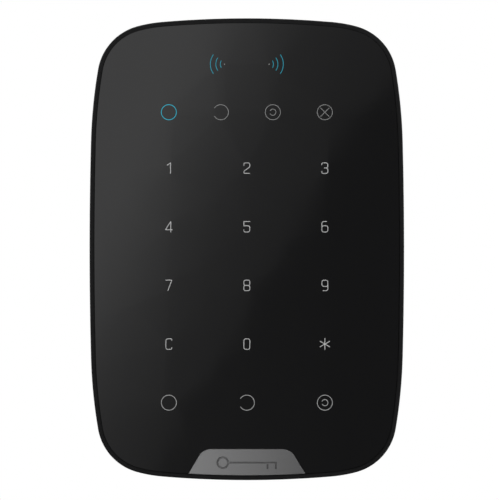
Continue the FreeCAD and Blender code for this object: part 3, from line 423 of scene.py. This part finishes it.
BOARD_BODY = "keypad"
BOARD_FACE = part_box("main_board")[1].y      # the parts stand on this face, towards +Y
OUTWARD = Vector((0.0, 1.0, 0.0))
SIDES = {"right": Vector((1, 0, 0)), "left": Vector((-1, 0, 0)),
         "up": Vector((0, 0, 1)), "down": Vector((0, 0, -1))}
LEAD_LIFT = 0.02            # a lead's foot stands this far off the board
SOLDER_LIFT = 0.01          # solder starts this far off it
FILLET_TOE = 0.35           # a solder fillet reaches out this far


def prism(mesh, outline, sweep):
    """Add the closed solid that a flat outline leaves when it is swept."""
    near = [mesh.verts.new(corner) for corner in outline]
    far = [mesh.verts.new(corner + sweep) for corner in outline]
    mesh.faces.new(near)
    mesh.faces.new(list(reversed(far)))
    for index, corner in enumerate(near):
        before = index - 1
        mesh.faces.new((near[before], far[before], far[index], corner))


def foot(mesh, edge, away, profile, width):
    """A metal foot at edge, a point of the board's face: profile is (out, height)."""
    across = away.cross(OUTWARD) * width * MM
    start = edge - across / 2
    prism(mesh, [start + away * out * MM + OUTWARD * height * MM for out, height in profile],
          across)


def edge_spots(low, high, side, count, pitch):
    """Points along one side of a body, at the board's face, evenly spaced about its middle."""
    away = SIDES[side]
    middle = Vector(((low.x + high.x) / 2, BOARD_FACE, (low.z + high.z) / 2))
    reach = (high.x - low.x) / 2 if away.x else (high.z - low.z) / 2
    along = away.cross(OUTWARD)
    for index in range(count):
        yield middle + away * reach + along * (index - (count - 1) / 2) * pitch * MM


def gull_wing(height, reach, thick=0.12):
    """Outline of a lead that leaves the body at height and stands on the board."""
    knee, heel = 0.3 * reach, 0.55 * reach          # its two bends, on the inner side
    outer_knee, outer_heel = knee + 0.06, heel + 0.08
    top = height + thick
    foot_top = thick + LEAD_LIFT
    return [(0.0, height), (0.0, top), (outer_knee, top), (outer_heel, foot_top),
            (reach, foot_top), (reach, LEAD_LIFT), (heel, LEAD_LIFT), (knee, height)]


def soldered_end(height, lap):
    """Outline of an end cap that laps over the body, with its solder fillet."""
    cap = 0.03              # thickness of its metal
    return [(-lap, SOLDER_LIFT), (-lap, height + cap), (cap, height + cap),
            (0.05, 0.55 * height), (0.5 * FILLET_TOE, 0.25 * height), (FILLET_TOE, SOLDER_LIFT)]


def soldered_edge(height, lap):
    """Outline of a plated edge contact with its solder fillet."""
    top = height + 0.04     # with the thickness of its plating
    return [(0.0, SOLDER_LIFT), (0.0, height), (-lap, height), (-lap, top), (0.05, top),
            (0.06, 0.5 * height), (FILLET_TOE, SOLDER_LIFT)]


def loose_boxes(name):
    """Corners of each part of a CAD node's mesh that no edge joins to the rest.

    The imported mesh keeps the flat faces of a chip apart, so each chip gives six boxes, one for
    each face. Boxes that share their lowest corner come in no fixed order."""
    mesh = bmesh.new()
    mesh.from_mesh(NODES[name].data)
    left = set(mesh.verts)
    boxes = []
    while left:
        reached = [left.pop()]
        body = []
        while reached:
            vertex = reached.pop()
            body.append(vertex.co.copy())
            for edge in vertex.link_edges:
                other = edge.other_vert(vertex)
                if other in left:
                    left.remove(other)
                    reached.append(other)
        boxes.append((Vector([min(v[i] for v in body) for i in range(3)]),
                      Vector([max(v[i] for v in body) for i in range(3)])))
    mesh.free()
    return sorted(boxes, key=lambda pair: tuple(round(v, 6) for v in pair[0]))


def tinned_piece(name, mesh):
    """Turn the gathered solids into one tinned piece that moves with the boards."""
    bmesh.ops.recalc_face_normals(mesh, faces=mesh.faces)
    data = bpy.data.meshes.new(name)
    mesh.to_mesh(data)
    mesh.free()
    data.materials.append(FINISHES["can_tinned"])
    made = bpy.data.objects.new(name, data)
    bpy.context.scene.collection.objects.link(made)
    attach(made, BOARD_BODY)


def make_rows(name, box, sides, count, pitch, profile, width):
    """One piece with a row of feet along each of these sides of a body's box."""
    mesh = bmesh.new()
    low, high = box
    for side in sides:
        for spot in edge_spots(low, high, side, count, pitch):
            foot(mesh, spot, SIDES[side], profile, width)
    tinned_piece(name, mesh)


def make_soldered_ends(name, lap, share):
    """Metal ends for each loose box of a CAD node: lap is their length, share their width.

    The box of a chip's top face gives the true ends. Those of its other faces give flat or very
    low ones, which are stray."""
    mesh = bmesh.new()
    for low, high in loose_boxes(name):
        wide, tall = high.x - low.x, high.z - low.z
        height = (high.y - BOARD_FACE) / MM
        for side in ("left", "right") if wide > tall else ("up", "down"):
            spot = next(edge_spots(low, high, side, 1, 0.0))
            foot(mesh, spot, SIDES[side], soldered_end(height, lap),
                 share * min(wide, tall) / MM)
    tinned_piece(name + "_ends", mesh)


make_rows("microcontroller_leads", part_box("microcontroller"), SIDES, count=14, pitch=0.65,
          profile=gull_wing(height=0.45, reach=0.95), width=0.28)
for switch in ("tamper_switch", "power_switch"):
    make_rows(switch + "_legs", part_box(switch), ("left", "right"), count=2, pitch=4.5,
              profile=gull_wing(height=0.7, reach=1.3, thick=0.2), width=0.7)
make_soldered_ends("chip_capacitors", lap=0.28, share=1.06)
make_soldered_ends("crystals", lap=0.4, share=0.8)
RADIO_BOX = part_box("radio_board")
RADIO_TOP = (RADIO_BOX[1].y - BOARD_FACE) / MM
make_rows("radio_board_contacts", RADIO_BOX, ("left", "right"), count=10, pitch=1.27,
          profile=soldered_edge(RADIO_TOP, lap=0.6), width=0.75)


# ---- stage ----

LOW, HIGH = cad_box
CENTRE = (LOW + HIGH) / 2
HALF_WIDTH = (HIGH.x - LOW.x) / 2

FLOOR_DROP = 0.75               # the floor is this far below the reader
FLOOR_RADIUS = 5.0
FLOOR_SIDES = 64
FLOOR_TONE = (0.35, 0.35, 0.35, 1.0)
FLOOR_FADE = (0.2, 0.9)         # shares of the radius where its own light starts and ends to rise
FLOOR_LIGHT = (0.68, 1.0)       # its own light, which only the eye sees, inside and outside


def flat_mesh(name, corners, material):
    mesh = bpy.data.meshes.new(name)
    mesh.from_pydata([tuple(c) for c in corners], [], [tuple(range(len(corners)))])
    mesh.materials.append(material)
    made = bpy.data.objects.new(name, mesh)
    bpy.context.scene.collection.objects.link(made)
    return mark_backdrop(made) or made


def make_floor():
    """A wide pale disc, kept pale to the eye where the lights don't reach, white at its rim."""
    z = LOW.z - FLOOR_DROP
    turns = [2 * math.pi * step / FLOOR_SIDES for step in range(FLOOR_SIDES)]
    corners = [(FLOOR_RADIUS * math.cos(a), FLOOR_RADIUS * math.sin(a), z) for a in turns]
    pale = new_material("floor_pale")
    tree = pale.node_tree
    place = add_node(tree, "ShaderNodeTexCoord").outputs["Object"]
    away = add_node(tree, "ShaderNodeVectorMath", {0: place}, operation="LENGTH")
    start, end = (share * FLOOR_RADIUS for share in FLOOR_FADE)
    light = map_range(tree, away.outputs["Value"], start, end, *FLOOR_LIGHT)
    seen = add_node(tree, "ShaderNodeLightPath").outputs["Is Camera Ray"]
    shader = tree.nodes["Principled BSDF"]
    put(tree, shader, "Base Color", FLOOR_TONE)
    put(tree, shader, "Roughness", 0.9)
    put(tree, shader, "Emission Color", WHITE)
    put(tree, shader, "Emission Strength", maths(tree, "MULTIPLY", seen, light))
    flat_mesh("floor", corners, pale)


# ---- camera ----

FRAME_HEIGHT = 0.1792           # height that the camera sees at the rim
LENS = 200.0
SENSOR = 36.0
CAMERA_AWAY = LENS / SENSOR * FRAME_HEIGHT
CAMERA_SHIFT = (0.00095, -0.00028)    # of the camera along X and Z, from the reader's middle
RIM_DEPTH = 0.0175              # the rim's front is this far in front of the wall


def make_camera():
    data = bpy.data.cameras.new("camera")
    data.lens = LENS
    data.sensor_width = SENSOR
    made = bpy.data.objects.new("camera", data)
    shift_x, shift_z = CAMERA_SHIFT
    made.location = (CENTRE.x + shift_x, -RIM_DEPTH - CAMERA_AWAY, CENTRE.z + shift_z)
    made.rotation_euler = (math.radians(90), 0.0, 0.0)
    bpy.context.scene.collection.objects.link(made)
    bpy.context.scene.camera = made


# ---- the soft box that the panel mirrors ----

# It is laid out by what the panel shows of it: the slanted edge where it ends, and the strength
# along X in steps of (share of the reach, strength).
SOFTBOX_AWAY = 2.5              # in front of the panel
CROWN_X = 2.2                   # radii of the panel's crown across and along its height
CROWN_Z = 4.8
SLANT_TOP = (0.0460, 0.0569)    # two points of the panel where the slanted edge shows
SLANT_LOW = (-0.0310, -0.0757)
SLANT_ENDS = (-0.4, 1.6)        # the edge runs on past both, in shares of its run
BOX_SIDE = 1.6                  # and the box to this many half-widths of the reader
SOFTBOX_REACH = (-0.064, 0.024)    # along X, where its steps start and end
SOFTBOX_LEAN = 0.44             # its bands lean by this much
SOFTBOX_STEPS = [(0.0, 1.14), (0.1, 1.13), (0.2, 1.0), (0.3, 0.79), (0.42, 0.56),
                 (0.55, 0.40), (0.66, 0.32), (0.8, 0.27), (1.0, 0.23)]
SPILL_REACH = (-0.015, 0.035)
SPILL_STEPS = [(0.0, 0.162), (1.0, 0.105)]


def mirrored_spot(x, z):
    """Where the line of sight that meets the panel at x, z ends, SOFTBOX_AWAY in front."""
    away = SOFTBOX_AWAY
    return (x * (1 + away / CAMERA_AWAY + 2 * away / CROWN_X),
            z * (1 + away / CAMERA_AWAY + 2 * away / CROWN_Z))


def slant_point(share):
    """A point of the slanted edge, at this share of the way from SLANT_LOW to SLANT_TOP."""
    return tuple(low + share * (top - low) for low, top in zip(SLANT_LOW, SLANT_TOP))


def make_reflector(name, corners, reach, lean, steps):
    """A glowing plane that only mirrors see, laid out by the spots of the panel it covers.

    Its strength runs through steps over the reach along X, in bands that lean."""
    front = LOW.y - SOFTBOX_AWAY
    placed = []
    for corner in corners:
        spot_x, spot_z = mirrored_spot(*corner)
        placed.append((spot_x, front, spot_z))
    made = new_material(name + "_glow")
    tree = made.node_tree
    tree.nodes.clear()
    scale_x, scale_z = mirrored_spot(1.0, 1.0)
    place = add_node(tree, "ShaderNodeTexCoord").outputs["Object"]
    along = add_node(tree, "ShaderNodeVectorMath",
                     {0: place, 1: (1 / scale_x, 0.0, -lean / scale_z)},
                     operation="DOT_PRODUCT")
    run = map_range(tree, along.outputs["Value"], *reach, 0.0, 1.0)
    ramp = add_node(tree, "ShaderNodeValToRGB", {"Fac": run})
    stops = ramp.color_ramp.elements
    for share, _ in steps[1:-1]:
        stops.new(share)
    for stop, (share, strength) in zip(stops, steps):
        stop.position = share
        stop.color = (strength, strength, strength, 1.0)
    glow = add_node(tree, "ShaderNodeEmission", {"Color": ramp.outputs["Color"]})
    add_node(tree, "ShaderNodeOutputMaterial", {"Surface": glow.outputs["Emission"]})
    sheet = flat_mesh(name, placed, made)
    sheet.visible_camera = False
    sheet.visible_diffuse = False
    sheet.visible_shadow = False


def make_softbox():
    """The soft box left of the slanted edge, and the weak light it spills to its right."""
    low, top = (slant_point(share) for share in SLANT_ENDS)
    side = BOX_SIDE * HALF_WIDTH
    make_reflector("softbox", [(-side, low[1]), low, top, (-side, top[1])],
                   SOFTBOX_REACH, SOFTBOX_LEAN, SOFTBOX_STEPS)
    make_reflector("softbox_spill", [low, (side, low[1]), (side, top[1]), top],
                   SPILL_REACH, 0.0, SPILL_STEPS)


# ---- lamps and room ----

# (name, place from the reader's middle, size, watts, spread in degrees)
LAMPS = [
    ("key", (-0.9, -0.9, 0.7), (0.6, 0.6), 9.0, 180),
    ("fill", (1.0, -0.7, 0.3), (0.6, 0.8), 5.0, 180),
    ("back", (0.3, 0.9, 0.8), (0.8, 0.6), 9.0, 180),
    ("side_left", (-1.0, 0.9, 0.1), (0.4, 1.0), 3.5, 80),
    ("side_right", (1.0, 0.9, 0.1), (0.4, 1.0), 3.5, 80),
]

# Strength of the room by a ray's direction: (turn from, turn to), (strength from, strength to).
ROOM_BY_Y = (-0.97, -0.6), (0.10, 0.22)
SHEEN_BY_X = (0.3, 0.85), (0.0, 1.0)


def make_lamp(name, place, size, watts, spread):
    data = bpy.data.lights.new(name, "AREA")
    data.spread = math.radians(spread)
    data.shape = "RECTANGLE"
    data.size, data.size_y = size
    data.energy = watts
    made = bpy.data.objects.new(name, data)
    made.location = CENTRE + Vector(place)
    made.rotation_mode = "QUATERNION"
    made.rotation_quaternion = (CENTRE - made.location).to_track_quat("-Z", "Y")
    bpy.context.scene.collection.objects.link(made)


def make_world():
    """White to the eye; to the object a soft grey room, dark straight in front of it.

    Glossy faces also see the room brighten towards both sides."""
    world = bpy.data.worlds.new("studio")
    bpy.context.scene.world = world
    world.use_nodes = True
    tree = world.node_tree
    backdrop = tree.nodes["Background"]
    put(tree, backdrop, "Color", WHITE)
    direction = add_node(tree, "ShaderNodeTexCoord").outputs["Generated"]
    split = add_node(tree, "ShaderNodeSeparateXYZ", {"Vector": direction})
    path = add_node(tree, "ShaderNodeLightPath")
    turn, strengths = ROOM_BY_Y
    base = map_range(tree, split.outputs["Y"], *turn, *strengths)
    turn, strengths = SHEEN_BY_X
    sheen = map_range(tree, maths(tree, "ABSOLUTE", split.outputs["X"]), *turn, *strengths)
    strength = maths(tree, "MULTIPLY_ADD", sheen, path.outputs["Is Glossy Ray"], base)
    room = add_node(tree, "ShaderNodeBackground", {"Strength": strength})
    mix = add_node(tree, "ShaderNodeMixShader", {
        "Fac": path.outputs["Is Camera Ray"],
        1: room.outputs["Background"], 2: backdrop.outputs["Background"]})
    put(tree, tree.nodes["World Output"], "Surface", mix.outputs["Shader"])


make_floor()
make_softbox()
for lamp in LAMPS:
    make_lamp(*lamp)
make_world()
make_camera()
bpy.context.scene.view_settings.view_transform = "Standard"
